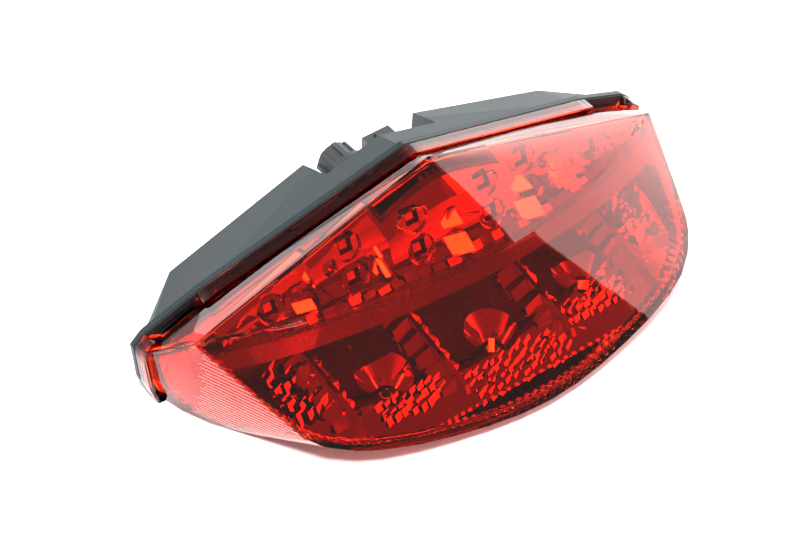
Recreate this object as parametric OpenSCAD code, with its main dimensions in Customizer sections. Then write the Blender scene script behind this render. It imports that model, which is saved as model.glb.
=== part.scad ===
// Motorcycle tail light: a deep red lens on a black housing, chromed reflectors and LED boards inside.
// Frame: +X across the light, the lens looks along -Y and upwards, +Z up.
// Origin: middle of the footprint, on the surface the light rests on.

/* [Body] */
// Width across the two tips of the lens rim
width = 210; // [196:1:224]
// Height of the lens peak above the underside
height = 65; // [63:0.5:67]
// Wall thickness of the red lens
lens_wall = 2.6; // [2.2:0.1:2.8]
// Wall thickness of the black housing
shell = 2.4; // [2:0.1:2.6]

/* [Lamps] */
// Side of one square upper LED package
led_side = 5; // [4.2:0.1:5.4]
// Distance between the two rows of upper LEDs
led_pitch = 11.4; // [11:0.1:11.8]
// Mouth radius of one upper dish
dish_r = 5.4; // [4.8:0.1:5.4]
// Mouth radius of one lower bowl
bowl_r = 8.4; // [7.4:0.1:9]

/* [Mounting] */
// Distance from the middle to each outer threaded insert
insert_x = 50; // [44:1:54]
// Bore radius of the threaded inserts
thread_r = 2.5; // [2.1:0.1:2.6]

/* [Sub-part] */

/* [Hidden] */
$fn = 48;
kx = width / 210;
y_shift = 12;        // brings the middle of the footprint onto the origin
tilt = 23;           // the lamp boards lean back by this angle
joint_f = -18.5;     // plane where the rim meets the housing, below the tips
joint_h = 27.5;      // above this height the joint leans forward
joint_slope = 0.178;
rim_t = 3.5;         // thickness of the rim

// Point from its distance across, forward and up.
function at(x, f, h) = [x * kx, -f, h];
// A list of points and their mirror images.
function both(l) = concat(l, [for (p = l) if (p[0] > 0) [-p[0], p[1], p[2]]]);
// Forward distance of the crease, of the foot of the lens and of the joint.
function crease_f(x) = 33 - 160 + sqrt(160 * 160 - x * x);
function foot_f(x) = 55 - 128 + sqrt(128 * 128 - x * x);
function joint(h) = joint_f + joint_slope * max(0, h - joint_h);

// Outer points of the lens: its face, its foot and the edge where it meets the rim.
face_points = concat(
    [[0, 0, height], [95, 2, 36.7]],
    [for (x = [0 : 12 : 84]) [x, crease_f(x), 44.5 - 8 * pow(x / 95, 4)]]
);
// The lower edge of the face overhangs the foot.
edge_points = [[83.9, 34.3, 22], [82.3, 38.3, 20], [80.5, 41.6, 17.5], [76, 46.8, 15], [68, 52.8, 13.3],
    [60, 56.4, 11.7], [48, 59.9, 9.7], [36, 62.5, 8.2], [24, 64.7, 7], [12, 66.3, 6.3], [0, 66.9, 6.1]];
foot_points = concat(
    [for (x = [0 : 12 : 60]) [x, foot_f(x), 0]],
    [[68.5, 34, 0], [76, 26, 0], [84, 16.5, 0], [91.5, 5, 0], [96, -6, 0]]
);
rim_points = [[0, 0, height - 6.2], [79, 0, 35.6], [98.5, 0, 27], [102.5, 0, 23.5], [101, 0, 9], [98, 0, 0]];

module wrap(points) {
    hull()
        polyhedron(points = points, faces = [for (i = [0 : len(points) - 3]) [i, i + 1, i + 2]]);
}

// Solid bounded by the lens surface moved inwards by o.
module lens_form(o) {
    moved = concat(
        [for (p = face_points) [max(0, p[0] - 1.15 * o), p[1] - 0.65 * o, p[2] - 0.78 * o]],
        [for (p = edge_points)
            [p[0] * (1 - 0.013 * o), p[1] - (1.6 - 0.007 * p[0]) * o, p[2] + (0.3 - 0.006 * p[0]) * o]],
        [for (p = foot_points) [max(0, p[0] - 1.15 * o), p[1] - (p[0] > 60 ? 1.05 : 2.9) * o, o > 0 ? -1 : 0]],
        [for (p = rim_points) [max(0, p[0] - 1.15 * o), joint(p[2]) + (o > 0 ? -1 : rim_t),
            p[2] == 0 ? (o > 0 ? -1 : 0) : p[2] - 1.1 * o]]
    );
    wrap([for (p = both(moved)) at(p[0], p[1], p[2])]);
}

// Outline of the rim, seen from the front, grown by d.
module rim_outline(d) {
    half = [[79 + 0.3 * d, 35.6 + d], [98.5 + 0.8 * d, 27 + 0.8 * d], [102.5 + 1.1 * d, 23.5 + 0.4 * d],
        [101 + 1.1 * d, 9], [98 + d, 0]];
    mirrored = [for (i = [4 : -1 : 0]) [-half[i][0], half[i][1]]];
    points = concat([[0, height - 6.2 + 1.05 * d]], half, mirrored);
    polygon([for (p = points) [p[0] * kx, p[1]]]);
}

// Prism across the light with the side profile given as forward, up.
module side_profile(x0, x1, profile) {
    translate([x0, 0, 0])
        rotate([90, 0, 90])
            linear_extrude(height = x1 - x0)
                polygon([for (p = profile) [-p[0], p[1]]]);
}
// Layer that follows the joint, between two distances ahead of it.
module layer(a, b) {
    side_profile(-130, 130, [[joint_f + a, -5], [joint_f + a, joint_h], [joint(90) + a, 90],
        [joint(90) + b, 90], [joint_f + b, joint_h], [joint_f + b, -5]]);
}
// The rim outline within that layer.
module rim_slab(d, a, b) {
    intersection() {
        translate([0, 60, 0])
            rotate([90, 0, 0])
                linear_extrude(height = 100)
                    rim_outline(d);
        layer(a, b);
    }
}

// Solid bounded by the housing surface moved inwards by o.
module bowl_form(o) {
    ring = [for (p = [[0, height - 5], [79.3, 36.6], [99.3, 27.8], [103.6, 24], [102.1, 9], [99, 0]])
        [p[0], joint(p[1]), p[1]]];
    panel = [[0, -41, 51], [78, -38, 28.6], [80, -36, 27.4], [78, -36, 8], [62, -40.5, 10], [0, -41, 9],
        [0, -35, 0], [68, -33, 0]];
    moved = concat(
        [for (p = ring) [max(0, p[0] - 1.2 * o), p[1] + (o > 0 ? 3 : 0), p[2] == 0 ? o : p[2] - 1.2 * o]],
        [for (p = panel) [max(0, p[0] - 1.2 * o), p[1] + o, p[2] < 1 ? o : p[2] - 0.9 * o]]
    );
    wrap([for (p = both(moved)) at(p[0], p[1], p[2])]);
}

// Children are turned into the frame of the leaning lamp boards.
module leaning() {
    rotate([-tilt, 0, 0])
        children();
}
// A box given by its low and high corners as across, forward, up.
module block(a, b) {
    translate([a[0], -b[1], a[2]])
        cube([b[0] - a[0], b[1] - a[1], b[2] - a[2]]);
}
// A rod pointing forward, from f0 to f1.
module rod(x, h, r, f0, f1) {
    translate([x, -f0, h])
        rotate([90, 0, 0])
            cylinder(r = r, h = f1 - f0);
}

back_f = -41;
// Recess in the top of the back, where the lamp holder and the socket sit.
recess_x = [-22, 24];
recess_f = -27;
recess_h = 33;
holder_x = -10.5;
holder_h = 42.6;
holder_r = 6;
socket_x = 6.8;
socket_h = 41.5;
insert_h = 18;
vent_x = -27;
vent_h = 18;
post_x = 44;
post_h = 38;

module recess(grow) {
    block([recess_x[0] - grow, back_f - 20, recess_h - grow], [recess_x[1] + grow, recess_f + grow, 80]);
}

module housing() {
    color([0.07, 0.08, 0.09])
        difference() {
            union() {
                difference() {
                    bowl_form(0);
                    bowl_form(shell);
                    layer(-0.6, 120);
                }
                intersection() {
                    bowl_form(0);
                    recess(shell);
                }
                // lip behind the lens rim
                difference() {
                    rim_slab(2.2, -2.6, -0.6);
                    rim_slab(-2, -4, 1);
                }
                // tray under the lens
                intersection() {
                    block([-110, back_f + 8, 0.4], [110, 70, 3]);
                    union() {
                        lens_form(lens_wall + 0.4);
                        intersection() {
                            bowl_form(0.4);
                            layer(-60, -0.6);
                        }
                    }
                }
                // blind bosses for the inserts, posts for the driver board
                for (x = [-insert_x, 0, insert_x])
                    rod(x, insert_h, 6.4, back_f + 1, back_f + 14.5);
                for (x = [-1, 27])
                    rod(x, 9, 2.6, back_f + 3, -17.1);
                // leaning posts for the upper lamp board
                intersection() {
                    leaning()
                        for (s = [-1, 1])
                            rod(s * post_x, post_h, 3, -45, 16.6);
                    union() {
                        bowl_form(0.8);
                        block([-60, joint_f - 1, 10], [60, 20, 60]);
                    }
                }
            }
            recess(0);
            for (x = [-insert_x, 0, insert_x])
                rod(x, insert_h, 4.2, back_f - 1, back_f + 12);
            for (x = [-1, 27])
                rod(x, 9, 1.25, -27, -16);
            leaning()
                for (s = [-1, 1])
                    rod(s * post_x, post_h, 1.35, 5, 18);
            rod(vent_x, vent_h, 3.5, back_f - 1, back_f + 6);
            // keyed bore for the twist-lock holder
            rod(holder_x, holder_h, holder_r + 0.06, recess_f - 1, recess_f + 4);
            for (a = [0 : 120 : 240])
                translate([holder_x, -recess_f + 1, holder_h])
                    rotate([90, a, 0])
                        translate([0, -1.8, 0])
                            cube([holder_r + 1.9, 3.6, 5]);
            block([socket_x - 5.8, recess_f - 1, socket_h - 4.4], [socket_x + 5.8, recess_f + 4, socket_h + 4.4]);
            // number-plate window, with a rebate round it
            block([-22, -28, -1], [22, -16, 4]);
            block([-24.2, -30.2, 0.9], [24.2, -13.8, 4]);
        }
}

module lens() {
    color([0.85, 0.04, 0.03, 0.75])
        difference() {
            union() {
                lens_form(0);
                difference() {
                    rim_slab(2.3, 0, rim_t + 1.6);
                    rim_slab(1.3, rim_t - 1.2, rim_t + 6);
                }
                rim_slab(0, 0, rim_t + 0.3);
            }
            lens_form(lens_wall);
            layer(-60, 0);
        }
}

// Black bead in the joint between rim and housing.
module lens_seal() {
    color([0.03, 0.03, 0.03])
        difference() {
            rim_slab(1.8, -0.6, 0);
            rim_slab(-1.4, -2, 1);
            lens_form(lens_wall);
            block([-110, joint_f - 3, -1], [110, joint_f + 2, 0.3]);
        }
}

// Upper cells: distance across, depth along the leaning axis, height of the lowest LED, rows.
cells = [
    [-66, 15, 32, 1],
    [-36, 19.3, 30.8, 2],
    [-14.5, 28, 33.6, 2],
    [14.5, 28, 33.6, 2],
    [36, 19.3, 30.8, 2],
    [66, 15, 32, 1]
];
// Every upper LED as across, along, up.
lamps = [for (c = cells) for (i = [0 : c[3] - 1]) [c[0], c[1], c[2] + i * led_pitch]];
shelf_h = 26.8;

module in_lens(gap) {
    intersection() {
        children();
        lens_form(lens_wall + gap);
    }
}
// The same box on both sides of the light.
module pair(a, b) {
    block(a, b);
    block([-b[0], a[1], a[2]], [-a[0], b[1], b[2]]);
}

module upper_reflector() {
    low = shelf_h + 0.3;
    color([0.8, 0.8, 0.82])
        difference() {
            in_lens(0.5)
                leaning()
                    union() {
                        block([-26, 27.2, low], [26, 31.6, 60]);
                        pair([24.4, 18.5, low], [26, 31.6, 60]);
                        pair([24.4, 18.5, low], [51, 22.9, 58]);
                        pair([49.6, 14.2, low], [51, 22.9, 56]);
                        pair([49.6, 14.2, low], [86, 18.6, 52]);
                    }
            leaning() {
                for (l = lamps) {
                    translate([l[0], -l[1] - 0.6, l[2]])
                        rotate([90, 0, 0])
                            cylinder(r1 = led_side * 0.75, r2 = dish_r, h = 3.1);
                    block([l[0] - led_side * 0.62, l[1] - 2, l[2] - led_side * 0.62],
                        [l[0] + led_side * 0.62, l[1] + 1, l[2] + led_side * 0.62]);
                }
                rod(0, 39, 2.2, 20, 34);
                for (s = [-1, 1])
                    rod(s * post_x, post_h, 2.9, 16, 24);
            }
        }
}

// Spoked cap over the middle locating boss.
module boss_cap() {
    color([0.75, 0.75, 0.78])
        leaning()
            difference() {
                union() {
                    rod(0, 39, 2, 27.4, 31.7);
                    rod(0, 39, 3.4, 31.7, 32.6);
                }
                for (a = [0 : 60 : 120])
                    translate([0, -32.6, 39])
                        rotate([0, a, 0])
                            cube([4.6, 0.8, 0.6], center = true);
            }
}

module upper_led_board() {
    low = shelf_h + 1;
    color([0.05, 0.2, 0.12])
        difference() {
            in_lens(1)
                leaning()
                    union() {
                        block([-24, 25.4, low], [24, 27, 58]);
                        pair([22.6, 16.7, low], [24, 27, 56]);
                        pair([22.6, 16.7, low], [49, 18.3, 56]);
                        pair([47.6, 12.4, low], [49, 18.3, 52]);
                        pair([47.6, 12.4, low], [80, 14, 48]);
                    }
            leaning()
                for (s = [-1, 1])
                    rod(s * post_x, post_h, 1.7, 15, 19);
        }
}

module upper_leds() {
    color([0.95, 0.85, 0.4])
        leaning()
            for (l = lamps)
                block([l[0] - led_side * 0.3, l[1] - 1, l[2] - led_side * 0.3],
                    [l[0] + led_side * 0.3, l[1] + 0.4, l[2] + led_side * 0.3]);
}

module upper_led_frames() {
    color([0.12, 0.03, 0.03])
        leaning()
            for (l = lamps)
                difference() {
                    block([l[0] - led_side / 2, l[1] - 1, l[2] - led_side / 2],
                        [l[0] + led_side / 2, l[1] + 0.6, l[2] + led_side / 2]);
                    block([l[0] - led_side * 0.31, l[1] - 2, l[2] - led_side * 0.31],
                        [l[0] + led_side * 0.31, l[1] + 2, l[2] + led_side * 0.31]);
                }
}

// Dark shelf along the crease, between the upper and the lower lamps, with a deep front lip.
module divider_shelf() {
    color([0.25, 0.04, 0.04])
        union() {
            in_lens(0.4)
                leaning()
                    block([-92, 10, shelf_h - 1.6], [92, 60, shelf_h]);
            difference() {
                in_lens(0.4)
                    leaning()
                        block([-92, 20, shelf_h - 5], [92, 60, shelf_h]);
                lens_form(lens_wall + 2.2);
            }
        }
}

// Lower bowls: distance across and forward.
bowls = [[0, 36], [41, 32], [-41, 32], [69, 16], [-69, 16]];
bowl_z = 5.6;

module bowl_cone(extra) {
    for (b = bowls)
        translate([b[0], -b[1], bowl_z - (extra > 0 ? 0 : 1)])
            cylinder(r1 = 3.2 + extra, r2 = bowl_r + 2 + extra, h = 10);
}

module lower_reflector() {
    color([0.8, 0.8, 0.82])
        difference() {
            in_lens(0.6)
                union() {
                    side_profile(-100, 100, [[4, 16.5], [56, 7.4], [56, 9.1], [4, 18.3]]);
                    side_profile(-100, 100, [[2.4, 16.2], [4, 16.2], [4, 28], [2.4, 28]]);
                    for (x = [-60, -22, 22, 60])
                        side_profile(x - 0.8, x + 0.8, [[3, 17.5], [52, 8.9], [50, 12.8], [3, 24]]);
                    intersection() {
                        bowl_cone(1.3);
                        side_profile(-100, 100, [[-10, 5.4], [60, 5.4], [60, 7.7], [-10, 20]]);
                    }
                }
            intersection() {
                bowl_cone(0);
                for (x = [[-59.2, -22.8], [-21.2, 21.2], [22.8, 59.2], [60.8, 90], [-90, -60.8]])
                    block([x[0], -10, 0], [x[1], 60, 40]);
            }
        }
}

module lower_led_board() {
    color([0.05, 0.2, 0.12])
        difference() {
            in_lens(1.6)
                block([-80, 9, 3.1], [80, 50, 4.6]);
            block([-90, 40, 0], [-52, 60, 9]);
            block([52, 40, 0], [90, 60, 9]);
        }
}
module lower_leds() {
    color([0.95, 0.85, 0.4])
        for (b = bowls)
            translate([b[0] - 1.75, -b[1] - 1.75, 4.6])
                cube([3.5, 3.5, 0.9]);
}
module lower_led_domes() {
    color([0.9, 0.9, 0.9, 0.6])
        for (b = bowls)
            translate([b[0], -b[1], 5.5])
                intersection() {
                    sphere(r = 1.7);
                    translate([-2, -2, 0])
                        cube(4);
                }
}

module board_screws() {
    color([0.6, 0.6, 0.62])
        leaning()
            for (s = [-1, 1])
                difference() {
                    union() {
                        rod(s * post_x, post_h, 1.3, 7, 18.4);
                        rod(s * post_x, post_h, 2.6, 18.4, 20.4);
                    }
                    for (a = [0, 90])
                        translate([s * post_x, -20.4, post_h])
                            rotate([0, a, 0])
                                cube([3.2, 1.6, 0.6], center = true);
                }
}

// Electronics between the recess and the upper board.
module driver_board() {
    color([0.05, 0.2, 0.12])
        difference() {
            block([-4, -17, 6.2], [30, -15.4, 45]);
            for (x = [-1, 27])
                rod(x, 9, 1.3, -18, -14);
        }
}
module driver_components() {
    color([0.1, 0.1, 0.11])
        union() {
            rod(22, 34, 3.4, -15.4, -8);
            block([4, -15.4, 22], [11, -13.6, 29]);
            block([16, -15.4, 22], [20, -13.4, 26]);
            block([4, -15.4, 15], [7, -14.4, 17]);
            block([12, -15.4, 15], [15, -14.4, 17]);
        }
}
module driver_screws() {
    color([0.6, 0.6, 0.62])
        for (x = [-1, 27]) {
            rod(x, 9, 1.2, -25, -15.4);
            rod(x, 9, 2.3, -15.4, -13.8);
        }
}
// Leads from the driver board to the two lamp boards.
module inner_leads() {
    color([0.5, 0.05, 0.05])
        union() {
            for (x = [8, 11, 14])
                rod(x, 40.5, 0.7, -15.4, 10);
            for (x = [8, 11, 14])
                rod(x, 7, 0.7, -15.4, 12);
            for (x = [8, 11, 14])
                translate([x, -12, 4.7])
                    cylinder(r = 0.7, h = 2.3);
        }
}

module connector_socket() {
    color([0.09, 0.09, 0.1])
        difference() {
            union() {
                block([socket_x - 5.6, recess_f - 11.5, socket_h - 4.2], [socket_x + 5.6, recess_f + 4, socket_h + 4.2]);
                block([socket_x - 7.2, recess_f - 1.8, socket_h - 5.8],
                    [socket_x + 7.2, recess_f - 0.05, socket_h + 5.8]);
                block([socket_x - 2.2, recess_f - 9, socket_h + 4], [socket_x + 2.2, recess_f - 6, socket_h + 6.4]);
            }
            block([socket_x - 4.4, recess_f - 13, socket_h - 2.9], [socket_x + 4.4, recess_f + 1.4, socket_h + 2.9]);
            for (i = [-1, 0, 1])
                block([socket_x + i * 2.9 - 0.5, recess_f, socket_h - 0.5],
                    [socket_x + i * 2.9 + 0.5, recess_f + 6, socket_h + 0.5]);
        }
}
module connector_pins() {
    color([0.75, 0.6, 0.25])
        for (i = [-1, 0, 1])
            block([socket_x + i * 2.9 - 0.5, recess_f - 7, socket_h - 0.5],
                [socket_x + i * 2.9 + 0.5, -17, socket_h + 0.5]);
}

// Twist-lock holder of the number-plate bulb; it turns about its own axis.
module bulb_holder() {
    color([0.1, 0.1, 0.11])
        difference() {
            union() {
                rod(holder_x, holder_h, 8.4, recess_f - 3.2, recess_f - 1.3);
                rod(holder_x, holder_h, holder_r, recess_f - 3.2, recess_f + 5);
                rod(holder_x, holder_h, 6.2, recess_f - 12, recess_f - 3);
                for (a = [60 : 120 : 300])
                    translate([holder_x, -recess_f - shell - 0.3, holder_h])
                        rotate([90, a, 0])
                            translate([0, -1.5, 0])
                                cube([holder_r + 0.9, 3, 2]);
                for (a = [0 : 45 : 135])
                    translate([holder_x, -recess_f + 7.2, holder_h])
                        rotate([0, a, 0])
                            cube([14, 8.6, 1.8], center = true);
            }
            rod(holder_x, holder_h, 3.6, recess_f - 1, recess_f + 6);
            rod(holder_x, holder_h, 4, recess_f - 13, recess_f - 5);
        }
}
module holder_gasket() {
    color([0.03, 0.03, 0.03])
        difference() {
            rod(holder_x, holder_h, 8.7, recess_f - 1.3, recess_f - 0.3);
            rod(holder_x, holder_h, holder_r, recess_f - 2, recess_f + 1);
        }
}
module plate_bulb() {
    color([0.95, 0.95, 0.9, 0.5])
        union() {
            rod(holder_x, holder_h, 3.5, recess_f - 1, recess_f + 9);
            translate([holder_x, -recess_f - 9, holder_h])
                sphere(r = 3.5);
        }
}
module bulb_contacts() {
    color([0.75, 0.6, 0.25])
        for (s = [-1, 1])
            block([holder_x + s * 1.6 - 0.4, recess_f - 7, holder_h - 0.8],
                [holder_x + s * 1.6 + 0.4, recess_f - 5, holder_h + 0.8]);
}

module plate_window() {
    color([0.85, 0.88, 0.9, 0.5])
        union() {
            block([-23.8, -29.8, 1.5], [23.8, -14.2, 2.9]);
            block([-21.6, -27.6, 0.5], [21.6, -16.4, 2]);
        }
}
module window_seal() {
    color([0.03, 0.03, 0.03])
        difference() {
            block([-23.8, -29.8, 0.9], [23.8, -14.2, 1.5]);
            block([-22, -28, 0], [22, -16, 3]);
        }
}
module breather_cap() {
    color([0.05, 0.05, 0.06])
        union() {
            rod(vent_x, vent_h, 3.5, back_f, back_f + 4);
            rod(vent_x, vent_h, 5, back_f - 1.6, back_f);
        }
}
module mount_inserts() {
    color([0.75, 0.6, 0.25])
        for (x = [-insert_x, 0, insert_x])
            difference() {
                rod(x, insert_h, 4.2, back_f + 0.2, back_f + 12);
                rod(x, insert_h, thread_r, back_f - 1, back_f + 13);
            }
}

translate([0, y_shift, 0]) {
    housing();
    lens();
    lens_seal();
    upper_reflector();
    lower_reflector();
    divider_shelf();
    boss_cap();
    upper_led_board();
    upper_leds();
    upper_led_frames();
    lower_led_board();
    lower_leds();
    lower_led_domes();
    board_screws();
    driver_board();
    driver_components();
    driver_screws();
    inner_leads();
    connector_socket();
    connector_pins();
    bulb_holder();
    holder_gasket();
    plate_bulb();
    bulb_contacts();
    plate_window();
    window_seal();
    breather_cap();
    mount_inserts();
}
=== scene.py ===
import math
import random
import bmesh
import bpy
from mathutils import Matrix, Vector
from mathutils.bvhtree import BVHTree

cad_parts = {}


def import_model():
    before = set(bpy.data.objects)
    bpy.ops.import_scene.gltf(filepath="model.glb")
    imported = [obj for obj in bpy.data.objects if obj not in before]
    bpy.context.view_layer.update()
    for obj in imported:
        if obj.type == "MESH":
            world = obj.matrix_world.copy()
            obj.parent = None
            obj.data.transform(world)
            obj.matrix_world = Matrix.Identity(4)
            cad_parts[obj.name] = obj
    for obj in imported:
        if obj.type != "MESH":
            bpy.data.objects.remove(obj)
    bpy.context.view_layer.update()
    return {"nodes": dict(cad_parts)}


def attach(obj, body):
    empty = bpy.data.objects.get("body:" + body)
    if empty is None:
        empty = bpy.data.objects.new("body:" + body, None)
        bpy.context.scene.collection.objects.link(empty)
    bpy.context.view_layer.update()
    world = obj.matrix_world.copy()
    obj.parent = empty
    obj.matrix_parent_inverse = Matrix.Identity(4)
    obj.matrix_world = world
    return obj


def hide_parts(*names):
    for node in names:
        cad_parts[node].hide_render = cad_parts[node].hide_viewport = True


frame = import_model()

# ---------------------------------------------------------------- camera
VIEW_RIGHT = Vector((0.8007, -0.5990, 0.0))
VIEW_UP = Vector((0.4108, 0.5492, 0.7278))
VIEW_BACK = Vector((-0.4360, -0.5827, 0.6858))     # from the object to the camera, 1 m away
LOOK_AT = Vector((0, 0.012, 0))
SHIFT_LEFT = 0.00898
SHIFT_UP = 0.0112

cam_data = bpy.data.cameras.new("camera")
cam_data.sensor_width = 36.0
cam_data.lens = 131.85
cam_data.clip_start = 0.05
cam_data.clip_end = 20.0
cam = bpy.data.objects.new("camera", cam_data)
bpy.context.scene.collection.objects.link(cam)
turn = Matrix((VIEW_RIGHT, VIEW_UP, VIEW_BACK)).transposed().to_4x4()
place = LOOK_AT + VIEW_BACK - SHIFT_LEFT * VIEW_RIGHT + SHIFT_UP * VIEW_UP
cam.matrix_world = Matrix.Translation(place) @ turn
bpy.context.scene.camera = cam


# ---------------------------------------------------------------- materials
class Nodes:
    """Adds nodes with their values, and links, to a material's or world's tree."""

    def __init__(self, tree):
        self.t = tree

    def new(self, kind, **values):
        n = self.t.nodes.new(kind)
        for k, v in values.items():
            if hasattr(n, k):
                setattr(n, k, v)
            else:
                n.inputs[k.replace("_", " ")].default_value = v
        return n

    def link(self, a, b):
        self.t.links.new(a, b)


def material(name, colour, rough, metallic=0.0, vary=0.15, grain=900.0, bump=0.1, rough_vary=0.1,
             ior=1.5, transmission=0.0):
    """Procedural finish: colour patches, fine grain, uneven roughness and a bump."""
    m = bpy.data.materials.new(name)
    m.use_nodes = True
    n = Nodes(m.node_tree)
    p = m.node_tree.nodes["Principled BSDF"]
    p.inputs["Metallic"].default_value = metallic
    p.inputs["IOR"].default_value = ior
    p.inputs["Transmission Weight"].default_value = transmission
    co = n.new("ShaderNodeTexCoord")
    big = n.new("ShaderNodeTexNoise", Scale=25.0, Detail=4.0, Roughness=0.55)
    fine = n.new("ShaderNodeTexNoise", Scale=grain, Detail=3.0, Roughness=0.6)
    n.link(co.outputs["Object"], big.inputs["Vector"])
    n.link(co.outputs["Object"], fine.inputs["Vector"])
    ramp = n.new("ShaderNodeValToRGB")
    ramp.color_ramp.elements[0].position = 0.3
    ramp.color_ramp.elements[1].position = 0.7
    ramp.color_ramp.elements[0].color = (*[c * (1 - vary) for c in colour], 1)
    ramp.color_ramp.elements[1].color = (*[min(1, c * (1 + vary)) for c in colour], 1)
    n.link(big.outputs["Fac"], ramp.inputs["Fac"])
    n.link(ramp.outputs["Color"], p.inputs["Base Color"])
    spread = n.new("ShaderNodeMapRange")
    spread.inputs["To Min"].default_value = max(0.0, rough - rough_vary)
    spread.inputs["To Max"].default_value = min(1.0, rough + rough_vary)
    n.link(fine.outputs["Fac"], spread.inputs["Value"])
    n.link(spread.outputs["Result"], p.inputs["Roughness"])
    if bump:
        b = n.new("ShaderNodeBump")
        b.inputs["Strength"].default_value = bump
        b.inputs["Distance"].default_value = 0.0002
        n.link(fine.outputs["Fac"], b.inputs["Height"])
        n.link(b.outputs["Normal"], p.inputs["Normal"])
    return m


def red_lens(name, ribs=False):
    """Clear red acrylic: gloss outside, tint in the body, slight moulding waves, dust, optional fine ribs."""
    m = bpy.data.materials.new(name)
    m.use_nodes = True
    n = Nodes(m.node_tree)
    p = m.node_tree.nodes["Principled BSDF"]
    p.inputs["IOR"].default_value = 1.49
    p.inputs["Transmission Weight"].default_value = 1.0
    co = n.new("ShaderNodeTexCoord")
    big = n.new("ShaderNodeTexNoise", Scale=14.0, Detail=3.0, Roughness=0.5)
    n.link(co.outputs["Object"], big.inputs["Vector"])
    ramp = n.new("ShaderNodeValToRGB")
    ramp.color_ramp.elements[0].position = 0.3
    ramp.color_ramp.elements[1].position = 0.7
    ramp.color_ramp.elements[0].color = (0.97, 0.065, 0.022, 1)
    ramp.color_ramp.elements[1].color = (0.99, 0.085, 0.030, 1)
    n.link(big.outputs["Fac"], ramp.inputs["Fac"])
    n.link(ramp.outputs["Color"], p.inputs["Base Color"])
    dust = n.new("ShaderNodeTexNoise", Scale=420.0, Detail=4.0, Roughness=0.65)
    n.link(co.outputs["Object"], dust.inputs["Vector"])
    spread = n.new("ShaderNodeMapRange")
    spread.inputs["From Min"].default_value = 0.45
    spread.inputs["From Max"].default_value = 0.8
    spread.inputs["To Min"].default_value = 0.004
    spread.inputs["To Max"].default_value = 0.035
    n.link(dust.outputs["Fac"], spread.inputs["Value"])
    n.link(spread.outputs["Result"], p.inputs["Roughness"])
    wave = n.new("ShaderNodeBump")
    wave.inputs["Strength"].default_value = 0.12
    wave.inputs["Distance"].default_value = 0.0012
    n.link(big.outputs["Fac"], wave.inputs["Height"])
    if ribs:
        # bands 1.4 mm apart, one above the other
        bands = n.new("ShaderNodeTexWave", wave_type="BANDS", bands_direction="Z", Scale=224.0,
                      Distortion=0.0)
        n.link(co.outputs["Object"], bands.inputs["Vector"])
        fine = n.new("ShaderNodeBump")
        fine.inputs["Strength"].default_value = 1.0
        fine.inputs["Distance"].default_value = 0.0006
        n.link(bands.outputs["Fac"], fine.inputs["Height"])
        n.link(wave.outputs["Normal"], fine.inputs["Normal"])
        n.link(fine.outputs["Normal"], p.inputs["Normal"])
    else:
        n.link(wave.outputs["Normal"], p.inputs["Normal"])
    return m


MAT = {
    "housing_plastic": material("housing_plastic", (0.007, 0.014, 0.017), 0.50, vary=0.25, grain=1500,
                                bump=0.45, rough_vary=0.10, ior=1.42),
    "red_lens": red_lens("red_lens"),
    "red_lens_ribbed": red_lens("red_lens_ribbed", ribs=True),
    "seal_rubber": material("seal_rubber", (0.01, 0.01, 0.011), 0.6, grain=1800, bump=0.3),
    "reflector_chrome": material("reflector_chrome", (0.86, 0.86, 0.87), 0.06, metallic=1.0, vary=0.05,
                                 grain=120, bump=0.12, rough_vary=0.05),
    "reflector_satin": material("reflector_satin", (0.80, 0.79, 0.78), 0.22, metallic=0.7, vary=0.15,
                                grain=160, bump=0.35, rough_vary=0.1),
    "dark_trim": material("dark_trim", (0.10, 0.012, 0.010), 0.25, vary=0.3, grain=700, bump=0.1),
    "circuit_board": material("circuit_board", (0.02, 0.09, 0.045), 0.4, vary=0.3, grain=2500, bump=0.3),
    "led_emitter": material("led_emitter", (0.9, 0.75, 0.25), 0.3, vary=0.1, grain=2500, bump=0.2),
    "led_frame": material("led_frame", (0.04, 0.012, 0.012), 0.35, vary=0.2, grain=1800, bump=0.2),
    "clear_plastic": material("clear_plastic", (0.93, 0.95, 0.96), 0.05, transmission=1.0, ior=1.49,
                              vary=0.02, grain=300, bump=0.05, rough_vary=0.03),
    "screw_steel": material("screw_steel", (0.55, 0.55, 0.56), 0.28, metallic=1.0, vary=0.1, grain=1800,
                            bump=0.2),
    "component_black": material("component_black", (0.02, 0.02, 0.021), 0.38, grain=1500, bump=0.3),
    "lead_cover": material("lead_cover", (0.35, 0.02, 0.02), 0.4, grain=1000, bump=0.1),
    "contact_brass": material("contact_brass", (0.78, 0.57, 0.22), 0.27, metallic=1.0, grain=1400,
                              bump=0.2),
    "holder_plastic": material("holder_plastic", (0.02, 0.022, 0.024), 0.5, grain=1300, bump=0.4),
    "bulb_glass": material("bulb_glass", (0.95, 0.95, 0.93), 0.02, transmission=1.0, ior=1.5, vary=0.02,
                           grain=500, bump=0.02, rough_vary=0.01),
}
SLOT = {
    "housing": "housing_plastic", "lens": "red_lens", "lens_seal": "seal_rubber",
    "upper_reflector": "reflector_chrome", "lower_reflector": "reflector_chrome",
    "divider_shelf": "dark_trim", "boss_cap": "reflector_chrome",
    "upper_led_board": "circuit_board", "upper_leds": "led_emitter",
    "upper_led_frames": "led_frame", "lower_led_board": "circuit_board", "lower_leds": "led_emitter",
    "lower_led_domes": "clear_plastic", "board_screws": "screw_steel", "driver_board": "circuit_board",
    "driver_components": "component_black", "driver_screws": "screw_steel", "inner_leads": "lead_cover",
    "connector_socket": "component_black", "connector_pins": "contact_brass", "bulb_holder": "holder_plastic",
    "holder_gasket": "seal_rubber", "plate_bulb": "bulb_glass", "bulb_contacts": "contact_brass",
    "plate_window": "clear_plastic", "window_seal": "seal_rubber", "breather_cap": "component_black",
    "mount_inserts": "contact_brass",
}
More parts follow.
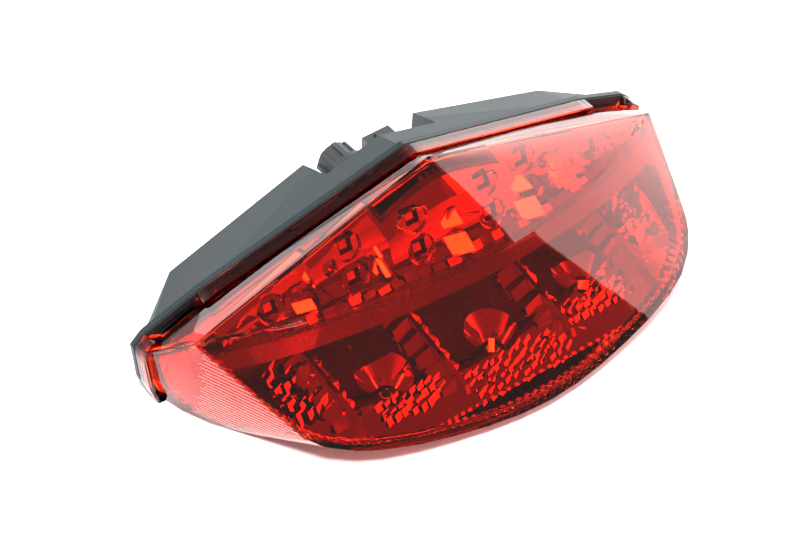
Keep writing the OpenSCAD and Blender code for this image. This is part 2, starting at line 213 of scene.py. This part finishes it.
for name, slot_name in SLOT.items():
    me = frame["nodes"][name].data
    me.materials.clear()
    me.materials.append(MAT[slot_name])


# ---------------------------------------------------------------- lens
# Sizes here are millimetres: across, forward (towards the lens side) and up.
FORWARD_ZERO = 12          # the frame's Y where forward is 0
HALF_FACE = 95             # half the width of the lens face
CREASE_R = 160             # plan radius of the crease, its middle and how much its ends drop
CREASE_F = 33
CREASE_H = 44.5
CREASE_DROP = 8
FOOT_R = 128               # plan radius and middle of the foot
FOOT_MID_F = 55
JOINT_F = -18.5            # joint with the housing: flat below the bend, leaning above it
JOINT_BEND_H = 27.5
JOINT_SLOPE = 0.178
RIM_DEPTH = 3.5            # from the joint to the corner between rim and skirt
WALL = 2.4
RIDGE = 0.13               # ridges inside the skirt and flutes inside the face, as a part of the wall
FLUTE = 0.14
FLUTE_ROWS = 3
RIDGE_TOP_H = 34
HALF_COLUMNS = 84          # columns of faces in half the lens, and rows in each patch
ROWS_FACE = 26
ROWS_SKIRT = 9
RIM_PROFILE = [(0.0, 2.3), (1.3, 2.3), (1.3, 5.1), (2.3, 5.1), (2.3, 0.0)]     # outward, ahead of the joint
PEAK = Vector((0, 0, 65))
TIP = Vector((HALF_FACE, 2, 36.7))
# lower edge of the face, from the tip to the middle: it overhangs the foot
EDGE = [TIP] + [Vector(p) for p in (
    (91.3, 13, 31.8), (83.9, 34.3, 22), (82.3, 38.3, 20), (80.5, 41.6, 17.5), (76, 46.8, 15),
    (68, 52.8, 13.3), (60, 56.4, 11.7), (48, 59.9, 9.7), (36, 62.5, 8.2), (24, 64.7, 7),
    (12, 66.3, 6.3), (0, 66.9, 6.1))]
RIM_TOP = [(0, 58.8), (79, 35.6), (98.5, 27), (102.5, 23.5)]
RIM_SIDE = [(102.5, 23.5), (101, 9), (98, 0)]


def world(x, f, h):
    """Metres in the frame from millimetres across, forward and up."""
    return Vector((x, FORWARD_ZERO - f, h)) * 0.001


def piece(name, me, slot_name, body="light", replaces=()):
    """Puts a mesh in the scene as a piece of the object."""
    o = bpy.data.objects.new(name, me)
    bpy.context.scene.collection.objects.link(o)
    me.materials.clear()
    me.materials.append(MAT[slot_name])
    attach(o, body)
    if replaces:
        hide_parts(*replaces)
    return o


def crease_point(x):
    """Point of the crease between the upper and the lower face."""
    f = CREASE_F - CREASE_R + math.sqrt(CREASE_R * CREASE_R - x * x)
    return Vector((x, f, CREASE_H - CREASE_DROP * (x / HALF_FACE) ** 4))


def foot_f(x):
    """How far forward the foot reaches."""
    return FOOT_MID_F - FOOT_R + math.sqrt(FOOT_R * FOOT_R - x * x)


def joint(h):
    """How far forward the joint between lens and housing lies at a height."""
    return JOINT_F + JOINT_SLOPE * max(0.0, h - JOINT_BEND_H)


def rim_point(p):
    """Corner between rim and skirt, from its place across and its height."""
    return Vector((p[0], joint(p[1]) + RIM_DEPTH, p[1]))


def mirror(p):
    return Vector((-p.x, p.y, p.z))


def along(points, count):
    """count + 1 points evenly spread along a polyline."""
    lengths = [0.0]
    for a, b in zip(points, points[1:]):
        lengths.append(lengths[-1] + (b - a).length)
    out = []
    for i in range(count + 1):
        t = lengths[-1] * i / count
        k = max(j for j in range(len(lengths)) if lengths[j] <= t + 1e-9)
        if k >= len(points) - 1:
            out.append(points[-1].copy())
            continue
        s = (t - lengths[k]) / (lengths[k + 1] - lengths[k])
        out.append(points[k].lerp(points[k + 1], s))
    return out


FOOT = [Vector(p) for p in ((96, -6, 0), (91.5, 5, 0), (84, 16.5, 0), (76, 26, 0), (68.5, 34, 0))]
FOOT += [Vector((x, foot_f(x), 0.0)) for x in (60, 48, 36, 24, 12, 0)]


def lens_hull():
    """Search tree of the convex hull of the lens's corners, to lay the finer surfaces on."""
    hull = bmesh.new()
    corners = [PEAK, TIP, *EDGE[1:], *FOOT, *[rim_point(p) for p in RIM_TOP + RIM_SIDE[1:]],
               *[crease_point(x) for x in range(0, HALF_FACE, 6)]]
    for p in corners:
        hull.verts.new(p)
        if p.x > 0:
            hull.verts.new(mirror(p))
    bmesh.ops.convex_hull(hull, input=hull.verts)
    bmesh.ops.triangulate(hull, faces=hull.faces[:])
    tree = BVHTree.FromBMesh(hull)
    hull.free()
    return tree


def relax(rows, times, tree):
    """Lays the inside of a patch on the hull, then evens it out."""
    inside = [(a, b) for a in range(1, len(rows) - 1) for b in range(1, len(rows[0]) - 1)]
    for a, b in inside:
        rows[a][b] = tree.find_nearest(rows[a][b])[0]
    for _ in range(times):
        new = [[p.copy() for p in row] for row in rows]
        for a, b in inside:
            middle = (rows[a - 1][b] + rows[a + 1][b] + rows[a][b - 1] + rows[a][b + 1]) / 4
            new[a][b] = rows[a][b].lerp(middle, 0.5)
        rows[:] = new


def lens_patches():
    """Rows of points over the outside: upper face, lower face, skirt, top skirt right and left."""
    # columns run from the tip on the right round the bottom to the tip on the left
    edge_r = along(EDGE, HALF_COLUMNS)
    edge = edge_r + [mirror(p) for p in edge_r[-2::-1]]
    n = len(edge) - 1
    crease = [crease_point(HALF_FACE * (1 - 2 * i / n)) for i in range(n + 1)]
    crease[0], crease[-1] = TIP.copy(), mirror(TIP)
    side = [rim_point(p) for p in RIM_SIDE]
    bottom_r = along([*side, *FOOT], HALF_COLUMNS)
    # the corner between rim and foot falls on a column
    corner = min(range(len(bottom_r)), key=lambda i: (bottom_r[i] - side[-1]).length)
    bottom_r[corner] = side[-1]
    bottom = bottom_r + [mirror(p) for p in bottom_r[-2::-1]]
    rim_r = along([rim_point(p) for p in RIM_TOP], ROWS_FACE)

    face_u = [[PEAK.lerp(c, (j / ROWS_FACE)) for c in crease] for j in range(ROWS_FACE + 1)]
    face_l = [[crease[i].lerp(edge[i], k / ROWS_FACE) for i in range(n + 1)] for k in range(ROWS_FACE + 1)]
    skirt = [[edge[i].lerp(bottom[i], t / ROWS_SKIRT) for i in range(n + 1)] for t in range(ROWS_SKIRT + 1)]
    top_r = [[PEAK.lerp(TIP, j / ROWS_FACE).lerp(rim_r[j], t / ROWS_SKIRT) for j in range(ROWS_FACE + 1)]
             for t in range(ROWS_SKIRT + 1)]
    top_l = [[mirror(p) for p in row] for row in top_r]
    tree = lens_hull()
    for rows, times in ((face_l, 14), (skirt, 6), (top_r, 3), (top_l, 3)):
        relax(rows, times, tree)
    return face_u, face_l, skirt, top_r, top_l


def add_face(bm, corners, flip=False):
    """Face between the corners, unless they fall together or it is there already."""
    seen = []
    for v in corners:
        if v not in seen:
            seen.append(v)
    if flip:
        seen.reverse()
    if len(seen) > 2 and not bm.faces.get(seen):
        bm.faces.new(seen)


def wall_offset(v):
    """Way from a point of the outside to the inside, a wall away from every face that meets there."""
    normals = []
    for f in v.link_faces:
        if all(f.normal.dot(q) < 0.97 for q in normals):
            normals.append(f.normal.copy())
    if len(normals) == 1:
        return normals[0] * -WALL
    mean = Vector((0, 0, 0))
    for q in normals:
        mean += q
    mean.normalize()
    return mean * (-WALL / max(0.55, min(mean.dot(q) for q in normals)))


def rim_direction(loop, k):
    """Outward direction of the rim's outline at a point, seen from the front."""
    a, b = loop[k - 1].co, loop[(k + 1) % len(loop)].co
    t = Vector((b.x - a.x, 0, b.z - a.z))
    if t.length < 1e-6:
        return Vector((0, 0, 0))
    t.normalize()
    out = Vector((t.z, 0, -t.x))
    if out.dot(Vector((loop[k].co.x, 0, loop[k].co.z - 20))) < 0:
        out = -out
    return out


def build_lens():
    """The lens as one closed shell, and the rows of points that line its skirts inside."""
    bm = bmesh.new()
    index = {}
    sharp = set()

    def vert(p):
        key = (round(p.x, 4), round(p.y, 4), round(p.z, 4))
        if key not in index:
            index[key] = bm.verts.new(p)
        return index[key]

    def mark(a, b):
        """Makes the edge between two points a bevelled one."""
        if a is not b:
            sharp.add(frozenset((a, b)))

    def skin(rows, flip=False):
        vs = [[vert(p) for p in row] for row in rows]
        for a in range(len(rows) - 1):
            for b in range(len(rows[0]) - 1):
                add_face(bm, (vs[a][b], vs[a][b + 1], vs[a + 1][b + 1], vs[a + 1][b]), flip)
        return vs

    # outside
    face_u, face_l, skirt, top_r, top_l = lens_patches()
    skin(face_u)
    face_l = skin(face_l)
    skirt = skin(skirt)
    top_r = skin(top_r)
    top_l = skin(top_l, flip=True)
    n = len(skirt[0]) - 1
    for b in range(n):
        mark(face_l[0][b], face_l[0][b + 1])
        mark(face_l[-1][b], face_l[-1][b + 1])
    for j in range(ROWS_FACE):
        mark(top_r[0][j], top_r[0][j + 1])
        mark(top_l[0][j], top_l[0][j + 1])
    for t in range(ROWS_SKIRT):
        mark(skirt[t][0], skirt[t + 1][0])
        mark(skirt[t][-1], skirt[t + 1][-1])
    bmesh.ops.recalc_face_normals(bm, faces=bm.faces[:])
    bm.normal_update()
    highest = max(bm.faces, key=lambda f: f.calc_center_median().z)
    if highest.normal.dot(highest.calc_center_median() - Vector((0, 0, 20))) < 0:
        bmesh.ops.reverse_faces(bm, faces=bm.faces[:])
        bm.normal_update()

    # open boundary in order: rim from the peak to the right, down, foot, and round to the peak again
    loop = top_r[-1] + skirt[-1][1:n] + top_l[-1][:0:-1]
    count = len(loop)
    on_rim = [abs(v.co.y - (joint(v.co.z) + RIM_DEPTH)) < 0.02 for v in loop]
    outward = [rim_direction(loop, k) for k in range(count)]

    # inside: outer points moved in, with ridges inside the skirt and flutes inside the foot of the face
    outer_faces = list(bm.faces)
    outer_verts = list(bm.verts)
    offset = {v: wall_offset(v) for v in outer_verts}
    boundary = set(loop)
    inner = {}
    for v in outer_verts:
        inner[v] = v.co + offset[v]
        if v in boundary and v.co.z < 0.01:
            inner[v].z = 0.0
        inner[v].z = max(inner[v].z, 0.0)
    for i in range(1, n):
        sign = 1 if i % 2 else -1
        for v in [row[i] for row in skirt[1:ROWS_SKIRT] if row[i].co.z < RIDGE_TOP_H]:
            inner[v] = v.co + offset[v] * (1.0 + sign * RIDGE)
        for v in [row[i] for row in face_l[ROWS_FACE - FLUTE_ROWS:ROWS_FACE]]:
            inner[v] = v.co + offset[v] * (1.0 + sign * FLUTE)
    made = {v: bm.verts.new(inner[v]) for v in outer_verts}
    for f in outer_faces:
        bm.faces.new([made[v] for v in reversed(f.verts[:])])

    # reflector flange that lines the skirts, 1 mm inside the lens, finely ridged below
    lining = []
    for rows in (skirt, top_r, top_l):
        ridge = 0.14 if rows is skirt else 0
        lining.append([[v.co + offset[v] * (1.42 + ridge * (i % 2)) for i, v in enumerate(row)]
                       for row in rows[1:ROWS_SKIRT]])

    # flange and lip round the rim, down to the joint and back up inside
    ring = [loop]
    for d, a in RIM_PROFILE:
        row = []
        for k, v in enumerate(loop):
            if not on_rim[k]:
                row.append(ring[-1][k])
                continue
            down = 0.0 if v.co.z < 0.01 else 1.0
            q = Vector((v.co.x + outward[k].x * d, 0, v.co.z + outward[k].z * d * down))
            q.y = joint(q.z) + a
            row.append(bm.verts.new(q))
        ring.append(row)
    last = []
    for k, v in enumerate(loop):
        if on_rim[k]:
            q = made[v].co.copy()
            q.y = joint(q.z)
            last.append(bm.verts.new(q))
        else:
            last.append(made[v])
    ring += [last, [made[v] for v in loop]]
    for a in range(len(ring) - 1):
        for k in range(count):
            k2 = (k + 1) % count
            add_face(bm, (ring[a][k], ring[a][k2], ring[a + 1][k2], ring[a + 1][k]))
            if 1 <= a <= 4 and on_rim[k] and on_rim[k2]:
                mark(ring[a + 1][k], ring[a + 1][k2])
    for k in range(count):
        k2 = (k + 1) % count
        outline = ring[1] if on_rim[k] and on_rim[k2] else loop
        mark(outline[k], outline[k2])

    bmesh.ops.recalc_face_normals(bm, faces=bm.faces[:])
    weight = bm.edges.layers.float.new("bevel_weight_edge")
    for e in bm.edges:
        if frozenset(e.verts) in sharp:
            e[weight] = 1.0
    for v in bm.verts:
        v.co = world(*v.co)
    # forward runs against Y, so world() turns the shell inside out
    bmesh.ops.reverse_faces(bm, faces=bm.faces[:])
    me = bpy.data.meshes.new("red_lens_shell")
    bm.to_mesh(me)
    bm.free()
    me.polygons.foreach_set("use_smooth", [True] * len(me.polygons))
    return me, lining


lens_me, lining = build_lens()
lens = piece("red_lens_shell", lens_me, "red_lens", replaces=("lens",))
lens_me.materials.append(MAT["red_lens_ribbed"])
for poly in lens_me.polygons:
    c, n = poly.center, poly.normal
    on_skirt = abs(c.x) < 0.0945 and 0.003 < c.z < 0.033
    if on_skirt and abs(n.x) > 0.45 and abs(n.z) < 0.45:
        poly.material_index = 1
bev = lens.modifiers.new("edges", "BEVEL")
bev.limit_method = "WEIGHT"
bev.width = 0.0004
bev.segments = 3
bev.harden_normals = True

# ---------------------------------------------------------------- reflectors
rnd = random.Random(7)
TILT = math.radians(23)
KEY = Vector((-0.383, 0.488, 0.785)).normalized()      # facets with this normal mirror the small key light
# how far a facet with that normal rises on a leaning plate, for each millimetre across and up
KEY_ACROSS = 0.507
KEY_UP = -0.704
# upper plates by their place across: how far forward they stand, and the heights of their lamps
PLATES = {14.5: (31.6, (33.6, 45.0)), 36: (22.9, (30.8, 42.2)), 66: (18.6, (32.0,))}
# cushion blocks beside the lamps: across from the plate's middle, up, half width, half height, rise
CUSHIONS = {
    14.5: ((12, 30.8, 3.9, 3.4, 3.6), (12, 39.4, 3.4, 2.6, 1.2)),
    36: ((12, 30.8, 3.9, 3.4, 3.6), (12, 36.6, 3.4, 2.7, 2.0)),
    66: ((-16.5, 38.0, 3.4, 2.0, 1.2), (-10, 29.2, 3.4, 1.8, 2.6)),
}
LAMP_HALF = 2.62           # half the square hole round a lamp, and the disc round it
DISC_R = 5.7
DISC_REACH = 2.6           # how far the upper discs reach up under the lens
DISC_SIDES = 24
SHELF_TOP = 26.9


def lean(x, f, h):
    """Point given in the frame of the leaning lamp boards, as across, forward, up."""
    return Vector((x, f * math.cos(TILT) - h * math.sin(TILT), f * math.sin(TILT) + h * math.cos(TILT)))


class Facets:
    """Flat mirror facets in the frame across, forward, up, added to a copy of a CAD node."""

    def __init__(self, node):
        self.bm = bmesh.new()
        self.bm.from_mesh(frame["nodes"][node].data)

    def face(self, *points):
        self.bm.faces.new([self.bm.verts.new(world(*p)) for p in points])

    def jewel(self, a, b, c, d, nu, nv, amp):
        """Grid of facets between four corners, every point moved a little along the normal."""
        normal = (b - a).cross(d - a).normalized()
        rows = []
        for i in range(nu + 1):
            u = i / nu
            rows.append([a.lerp(b, u).lerp(d.lerp(c, u), j / nv) + normal * rnd.uniform(-amp, amp)
                         for j in range(nv + 1)])
        for i in range(nu):
            for j in range(nv):
                p = [rows[i][j], rows[i + 1][j], rows[i + 1][j + 1], rows[i][j + 1]]
                split = ((0, 1, 2), (0, 2, 3)) if rnd.random() < 0.5 else ((0, 1, 3), (1, 2, 3))
                for tri in split:
                    self.face(*[p[t] for t in tri])

    def cushion(self, x, plate, h, w, t, rise):
        """Block raised on a plate, with a top that mirrors the key light."""
        base, top = [], []
        for sx, sh in ((-1, -1), (1, -1), (1, 1), (-1, 1)):
            dx, dh = sx * w, sh * t
            slope = 0.86 * (KEY_ACROSS * dx + KEY_UP * dh)
            base.append(lean(x + dx * 1.12, plate - 5, h + dh * 1.12))
            top.append(lean(x + dx * 0.86, plate + rise + slope * 0.98, h + dh * 0.86))
        for i in range(4):
            j = (i + 1) % 4
            self.face(base[i], base[j], top[j], top[i])
        self.face(*top)

    def lamp_disc(self, x, plate, h):
        """Shallow disc with a square hole round a lamp, and the step up to its plate."""
        reach = DISC_REACH if h > 40 else DISC_R
        step = lean(0, 0.9, 0)
        hole, rim = [], []
        for k in range(DISC_SIDES):
            t = 2 * math.pi * k / DISC_SIDES
            c, s = math.cos(t), math.sin(t)
            r = LAMP_HALF / max(abs(c), abs(s))
            hole.append(lean(x + r * c, plate - 1.4, h + r * s))
            rim.append(lean(x + DISC_R * c, plate - 1.1 + 0.15 * c, h + min(DISC_R * s, reach)))
        for k in range(DISC_SIDES):
            j = (k + 1) % DISC_SIDES
            self.face(hole[k], hole[j], rim[j], rim[k])
            self.face(rim[k], rim[j], rim[j] + step, rim[k] + step)

    def teeth(self, x0, x1, f0, f1, top, n, rise, parts, skew=0.0, drop=0.0, slope=(0.7, 1.2)):
        """Rows of teeth across x0..x1 from f0 to f1: long sloping backs and steep bright fronts."""
        for j in range(parts):
            xa = x0 + (x1 - x0) * j / parts
            xb = x0 + (x1 - x0) * (j + 1) / parts
            drop_a = abs(drop * (xa - x0))
            drop_b = abs(drop * (xb - x0))
            shift = rnd.uniform(0, 0.8)
            for i in range(n):
                fa = f0 + (f1 - f0) * (i + shift * 0.5) / n
                fb = f0 + (f1 - f0) * (i + 1 + shift * 0.5) / n
                za, zb = top(fa), top(fb)
                r = rise * rnd.uniform(0.75, 1.2)
                t = rnd.uniform(-0.5, 0.5)
                lean_f = rnd.uniform(*slope) * r
                sk = rnd.uniform(-0.5, 0.5) + skew
                back_a = Vector((xa, fa, za - r * 0.5 - drop_a))
                back_b = Vector((xb, fa + sk, za - r * 0.5 - drop_b + t))
                ridge_b = Vector((xb, fb - lean_f + sk, zb + r * 0.5 - drop_b + t))
                ridge_a = Vector((xa, fb - lean_f, zb + r * 0.5 - drop_a))
                foot_b = Vector((xb, fb + sk, zb - r * 0.6 - drop_b))
                foot_a = Vector((xa, fb, zb - r * 0.6 - drop_a))
                self.face(back_a, back_b, ridge_b, ridge_a)
                self.face(ridge_a, ridge_b, foot_b, foot_a)

    def glint(self, x, f, h, w, t):
        """Small facet that mirrors the key light."""
        c = Vector((x, f, h))
        across = KEY.cross(Vector((0, 0, 1))).normalized() * w
        upward = across.normalized().cross(KEY) * t
        self.face(c - across - upward, c + across - upward, c + across + upward, c - across + upward)

    def sheet(self, rows):
        """Surface through rows of points, without the faces that have no width."""
        for r0, r1 in zip(rows, rows[1:]):
            for k in range(len(r0) - 1):
                if (r0[k] - r0[k + 1]).length > 1e-6 or (r1[k] - r1[k + 1]).length > 1e-6:
                    self.face(r0[k], r0[k + 1], r1[k + 1], r1[k])

    def finish(self, name, node):
        bmesh.ops.remove_doubles(self.bm, verts=self.bm.verts[:], dist=1e-6)
        me = bpy.data.meshes.new(name)
        self.bm.to_mesh(me)
        self.bm.free()
        piece(name, me, "reflector_chrome", replaces=(node,))


# upper reflector: cushion blocks and discs beside the lamps, facets at the ends and on the shelf
fx = Facets("upper_reflector")
for side in (-1, 1):
    for cx, (plate, lamps) in PLATES.items():
        for dx, h, w, t, rise in CUSHIONS[cx]:
            # the outer plates mirror each other, the others carry their blocks on the same side
            bx = side * cx + (side * dx if dx < 0 else dx)
            fx.cushion(bx, plate, h, w, t, rise)
    for cx, (plate, lamps) in PLATES.items():
        for h in lamps:
            fx.lamp_disc(side * cx, plate, h)
    fx.jewel(lean(side * 52, 18.9, 36), lean(side * 58, 18.9, 36),
             lean(side * 58, 19.4, 29), lean(side * 52, 18.9, 29), 3, 4, 0.4)
    fx.jewel(lean(side * 72, 18.9, 36), lean(side * 84, 18.9, 32),
             lean(side * 84, 19.2, 28), lean(side * 72, 18.9, 28), 4, 2, 0.6)
for j in range(26):
    xa = -65 + 5 * j
    xb = xa + 5
    fa = 36.5 - 0.0026 * (xa + 2.5) ** 2 + rnd.uniform(-1.2, 1.2)
    top = SHELF_TOP + rnd.uniform(1.2, 2.8)
    tilt = rnd.uniform(-0.8, 0.8)
    ridge_a = lean(xa, fa, top)
    ridge_b = lean(xb, fa + tilt, top)
    fx.face(lean(xa, fa - 7, SHELF_TOP), lean(xb, fa - 7 + tilt, SHELF_TOP), ridge_b, ridge_a)
    fx.face(ridge_a, ridge_b, lean(xb, fa + 1.6 + tilt, SHELF_TOP - 0.2), lean(xa, fa + 1.6, SHELF_TOP - 0.2))
for rows in lining[1:]:
    fx.sheet(rows)
fx.finish("upper_reflector_faceted", "upper_reflector")


def rib_top(f):
    """Height of the ribs between the bowls."""
    return 24 - 11.2 * (f - 3) / 47


# lower reflector: stepped strips along the ribs, facets in front of the bowls
fx = Facets("lower_reflector")
for rx in (-60, -22, 22, 60):
    end = 40 if abs(rx) > 50 else 47
    fx.teeth(rx - 0.9, rx - 8.0, 7, end, lambda f: rib_top(f) - 1.2, 6, 3.4, 1, skew=1.4, drop=0.2,
             slope=(0.8, 1.3))
    fx.teeth(rx + 0.9, rx + 4.0, 6, end, lambda f: rib_top(f) - 1.6, 8, 2.0, 1, skew=-1.2, drop=0.5)
for side in (-1, 1):
    fx.teeth(side * 26, side * 52, 39, 48, lambda f: 13.0 - 0.22 * (f - 39), 3, 2.6, 8, skew=-1.2 * side)
    fx.teeth(side * 62, side * 76, 8, 32, lambda f: 18.5 - 0.14 * (f - 8), 6, 3.4, 4, skew=-1.5 * side)
fx.teeth(-20, 20, 45, 56, lambda f: 11.4 - 0.20 * (f - 45), 4, 2.8, 11, skew=-1.6)
for x, f, h, w, t in ((-1.5, 37, 8.6, 0.9, 2.2), (41, 33, 8.8, 1.8, 1.5), (-43, 44, 9.2, 0.8, 2.0),
                      (-38, 46, 8.8, 0.7, 1.6), (26, 50, 10.0, 1.5, 0.6)):
    fx.glint(x, f, h, w, t)
fx.sheet(lining[0])
fx.finish("lower_reflector_faceted", "lower_reflector")

# shelf: satin mirror on top, dark lip in front
bm = bmesh.new()
bm.from_mesh(frame["nodes"]["divider_shelf"].data)
bm.normal_update()
for face in bm.faces:
    face.material_index = 1 if face.normal.z > 0.5 else 0
me = bpy.data.meshes.new("divider_shelf_two_tone")
bm.to_mesh(me)
bm.free()
piece("divider_shelf_two_tone", me, "dark_trim", replaces=("divider_shelf",))
me.materials.append(MAT["reflector_satin"])

# ---------------------------------------------------------------- floor and light
bm = bmesh.new()
bmesh.ops.create_grid(bm, x_segments=2, y_segments=2, size=3.0)
floor_me = bpy.data.meshes.new("floor")
bm.to_mesh(floor_me)
bm.free()
floor = bpy.data.objects.new("floor", floor_me)
bpy.context.scene.collection.objects.link(floor)
floor_me.materials.append(material("floor_white", (0.86, 0.86, 0.86), 0.6, vary=0.01, grain=60, bump=0.0))


def softbox(name, azimuth, elevation, distance, width, height, power, lift=0.0):
    """A rectangular light that faces the object from a direction, raised by lift."""
    a, e = math.radians(azimuth), math.radians(elevation)
    away = Vector((math.sin(a) * math.cos(e), -math.cos(a) * math.cos(e), math.sin(e)))
    d = bpy.data.lights.new(name, "AREA")
    d.shape = "RECTANGLE"
    d.size = width
    d.size_y = height
    d.energy = power
    o = bpy.data.objects.new(name, d)
    o.location = away * distance + Vector((0, 0, lift))
    o.rotation_mode = "QUATERNION"
    o.rotation_quaternion = (-away).to_track_quat("-Z", "Y")
    bpy.context.scene.collection.objects.link(o)


# a large panel on the right, a soft one behind, and a small key light for the glints
softbox("right_box", 90, 0, 1.25, 2.6, 1.86, 52, lift=0.93)
softbox("back_box", 185, 24, 1.7, 2.4, 0.9, 14)
softbox("key", -40, 60, 1.3, 0.24, 0.24, 42)

# surroundings: bright low down, darker overhead; the bright part reaches higher behind the object
env = bpy.data.worlds.new("studio")
bpy.context.scene.world = env
env.use_nodes = True
wn = Nodes(env.node_tree)
sky = env.node_tree.nodes["Background"]
sky.inputs["Color"].default_value = (1, 1, 1, 1)
wco = wn.new("ShaderNodeTexCoord")
xyz = wn.new("ShaderNodeSeparateXYZ")
wn.link(wco.outputs["Generated"], xyz.inputs[0])
lean_back = wn.new("ShaderNodeMath", operation="MULTIPLY_ADD")
lean_back.inputs[1].default_value = -0.3
wn.link(xyz.outputs["Y"], lean_back.inputs[0])
wn.link(xyz.outputs["Z"], lean_back.inputs[2])
wall = wn.new("ShaderNodeMapRange", interpolation_type="SMOOTHSTEP")
wall.inputs["From Min"].default_value = 0.40
wall.inputs["From Max"].default_value = 0.62
wall.inputs["To Min"].default_value = 1.05
wall.inputs["To Max"].default_value = 0.30
wn.link(lean_back.outputs[0], wall.inputs["Value"])
wn.link(wall.outputs["Result"], sky.inputs["Strength"])
bpy.context.scene.view_settings.view_transform = "Standard"
bpy.context.scene.cycles.glossy_bounces = 8
bpy.context.scene.cycles.transmission_bounces = 12
bpy.context.scene.cycles.max_bounces = 16
